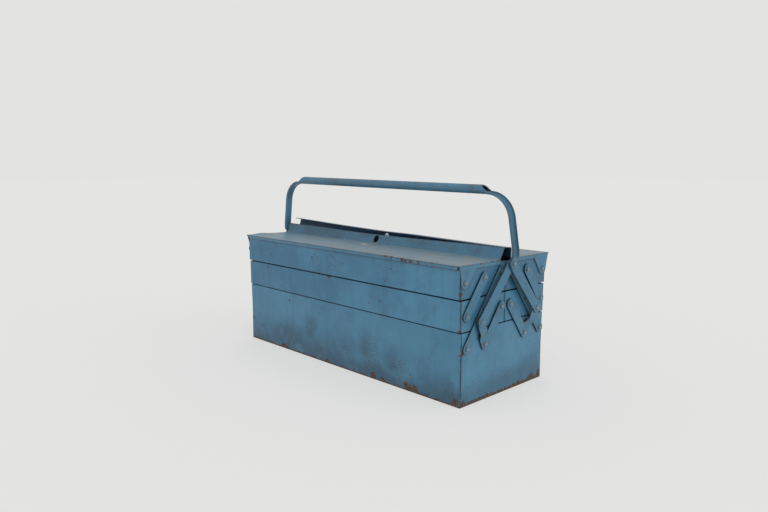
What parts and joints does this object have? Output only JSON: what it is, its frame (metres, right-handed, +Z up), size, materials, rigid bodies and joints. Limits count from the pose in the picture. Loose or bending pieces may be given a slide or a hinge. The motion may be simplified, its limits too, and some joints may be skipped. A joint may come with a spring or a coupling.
{
  "type": "cantilever toolbox",
  "caption": "Steel cantilever toolbox: base box, swing-out middle and top trays on end linkages, hinged lids and a carrying handle that pulls the trays shut.",
  "frame": {"origin": "centre of the base box's underside", "axes": "+X along the box, -Y towards the front half, +Z up"},
  "size_m": [0.5666, 0.222, 0.3139],
  "materials": {
    "body_paint": "worn semi-gloss blue paint",
    "lid_paint": "worn semi-gloss blue paint, greyed by dust",
    "linkage_paint": "worn blue paint on flat steel",
    "handle_paint": "worn blue paint, rubbed on the edges",
    "worn_steel": "rivet heads with the paint worn off"
  },
  "bodies": {
    "base": {"base_box": "body_paint", "front_left_arm_base_rivet": "worn_steel", "front_right_arm_base_rivet": "worn_steel", "front_left_crank_base_rivet": "worn_steel", "front_right_crank_base_rivet": "worn_steel", "back_left_arm_base_rivet": "worn_steel", "back_right_arm_base_rivet": "worn_steel", "back_left_crank_base_rivet": "worn_steel", "back_right_crank_base_rivet": "worn_steel"},
    "handle_pivot": {"left_handle_rivet": "worn_steel", "right_handle_rivet": "worn_steel"},
    "handle": {"carry_handle": "handle_paint"},
    "front_arms": {"front_left_long_arm": "linkage_paint", "front_right_long_arm": "linkage_paint"},
    "front_middle_tray": {"front_middle_tray": "body_paint", "front_left_arm_middle_rivet": "worn_steel", "front_right_arm_middle_rivet": "worn_steel", "front_left_crank_tray_rivet": "worn_steel", "front_right_crank_tray_rivet": "worn_steel", "front_left_link_lower_rivet": "worn_steel", "front_right_link_lower_rivet": "worn_steel"},
    "front_top_tray": {"front_top_tray": "body_paint", "front_left_arm_top_rivet": "worn_steel", "front_right_arm_top_rivet": "worn_steel", "front_left_link_upper_rivet": "worn_steel", "front_right_link_upper_rivet": "worn_steel", "front_left_lid_rivet": "worn_steel", "front_right_lid_rivet": "worn_steel"},
    "front_lid": {"front_lid": "lid_paint"},
    "front_tray_links": {"front_left_tray_link": "linkage_paint", "front_right_tray_link": "linkage_paint"},
    "front_cranks": {"front_left_crank_plate": "linkage_paint", "front_right_crank_plate": "linkage_paint"},
    "front_closing_arms": {"front_left_closing_arm": "linkage_paint", "front_right_closing_arm": "linkage_paint"},
    "back_arms": {"back_left_long_arm": "linkage_paint", "back_right_long_arm": "linkage_paint"},
    "back_middle_tray": {"back_middle_tray": "body_paint", "back_left_arm_middle_rivet": "worn_steel", "back_right_arm_middle_rivet": "worn_steel", "back_left_crank_tray_rivet": "worn_steel", "back_right_crank_tray_rivet": "worn_steel", "back_left_link_lower_rivet": "worn_steel", "back_right_link_lower_rivet": "worn_steel"},
    "back_top_tray": {"back_top_tray": "body_paint", "back_left_arm_top_rivet": "worn_steel", "back_right_arm_top_rivet": "worn_steel", "back_left_link_upper_rivet": "worn_steel", "back_right_link_upper_rivet": "worn_steel", "back_left_lid_rivet": "worn_steel", "back_right_lid_rivet": "worn_steel"},
    "back_lid": {"back_lid": "lid_paint"},
    "back_tray_links": {"back_left_tray_link": "linkage_paint", "back_right_tray_link": "linkage_paint"},
    "back_cranks": {"back_left_crank_plate": "linkage_paint", "back_right_crank_plate": "linkage_paint"},
    "back_closing_arms": {"back_left_closing_arm": "linkage_paint", "back_right_closing_arm": "linkage_paint"}
  },
  "joints": [
    {"name": "trays_open", "type": "hinge", "parent": "base", "child": "front_arms", "pos_m": [0, -0.0908, 0.0848], "axis": [1, 0, 0], "range_deg": [0, 70]},
    {"name": "front_middle_tray_level", "type": "hinge", "parent": "front_arms", "child": "front_middle_tray", "pos_m": [0, -0.0523, 0.136], "axis": [-1, 0, 0], "range_deg": [0, 70]},
    {"name": "front_top_tray_level", "type": "hinge", "parent": "front_arms", "child": "front_top_tray", "pos_m": [0, -0.0138, 0.1872], "axis": [-1, 0, 0], "range_deg": [0, 70]},
    {"name": "front_cranks_swing", "type": "hinge", "parent": "base", "child": "front_cranks", "pos_m": [0, -0.0493, 0.0838], "axis": [1, 0, 0], "range_deg": [0, 70]},
    {"name": "front_tray_links_swing", "type": "hinge", "parent": "front_middle_tray", "child": "front_tray_links", "pos_m": [0, -0.0916, 0.132], "axis": [1, 0, 0], "range_deg": [0, 70]},
    {"name": "front_closing_arms_spread", "type": "hinge", "parent": "handle_pivot", "child": "front_closing_arms", "pos_m": [0, 0, 0.198], "axis": [-1, 0, 0], "range_deg": [0, 22.38]},
    {"name": "front_lid_open", "type": "hinge", "parent": "front_top_tray", "child": "front_lid", "pos_m": [0, -0.0955, 0.1795], "axis": [1, 0, 0], "range_deg": [0, 110]},
    {"name": "back_arms_swing", "type": "hinge", "parent": "base", "child": "back_arms", "pos_m": [0, 0.0908, 0.0848], "axis": [-1, 0, 0], "range_deg": [0, 70]},
    {"name": "back_middle_tray_level", "type": "hinge", "parent": "back_arms", "child": "back_middle_tray", "pos_m": [0, 0.0523, 0.136], "axis": [1, 0, 0], "range_deg": [0, 70]},
    {"name": "back_top_tray_level", "type": "hinge", "parent": "back_arms", "child": "back_top_tray", "pos_m": [0, 0.0138, 0.1872], "axis": [1, 0, 0], "range_deg": [0, 70]},
    {"name": "back_cranks_swing", "type": "hinge", "parent": "base", "child": "back_cranks", "pos_m": [0, 0.0493, 0.0838], "axis": [-1, 0, 0], "range_deg": [0, 70]},
    {"name": "back_tray_links_swing", "type": "hinge", "parent": "back_middle_tray", "child": "back_tray_links", "pos_m": [0, 0.0916, 0.132], "axis": [-1, 0, 0], "range_deg": [0, 70]},
    {"name": "back_closing_arms_spread", "type": "hinge", "parent": "handle_pivot", "child": "back_closing_arms", "pos_m": [0, 0, 0.198], "axis": [1, 0, 0], "range_deg": [0, 22.38]},
    {"name": "back_lid_open", "type": "hinge", "parent": "back_top_tray", "child": "back_lid", "pos_m": [0, 0.0955, 0.1795], "axis": [-1, 0, 0], "range_deg": [0, 110]},
    {"name": "handle_drop", "type": "slide", "parent": "base", "child": "handle_pivot", "axis": [0, 0, -1], "range_m": [0, 0.07312]},
    {"name": "handle_fold", "type": "hinge", "parent": "handle_pivot", "child": "handle", "pos_m": [0, 0, 0.198], "axis": [1, 0, 0], "range_deg": [-63, 63]}
  ],
  "couplings": [
    {"joint": "front_middle_tray_level", "follows": "trays_open", "ratio": 1},
    {"joint": "front_top_tray_level", "follows": "trays_open", "ratio": 1},
    {"joint": "front_cranks_swing", "follows": "trays_open", "ratio": 1},
    {"joint": "front_tray_links_swing", "follows": "trays_open", "ratio": 1},
    {"joint": "front_closing_arms_spread", "follows": "trays_open", "ratio": 0.31958},
    {"joint": "back_arms_swing", "follows": "trays_open", "ratio": 1},
    {"joint": "back_middle_tray_level", "follows": "trays_open", "ratio": 1},
    {"joint": "back_top_tray_level", "follows": "trays_open", "ratio": 1},
    {"joint": "back_cranks_swing", "follows": "trays_open", "ratio": 1},
    {"joint": "back_tray_links_swing", "follows": "trays_open", "ratio": 1},
    {"joint": "back_closing_arms_spread", "follows": "trays_open", "ratio": 0.31958},
    {"joint": "handle_drop", "follows": "trays_open", "m_per_rad": 0.059844}
  ]
}
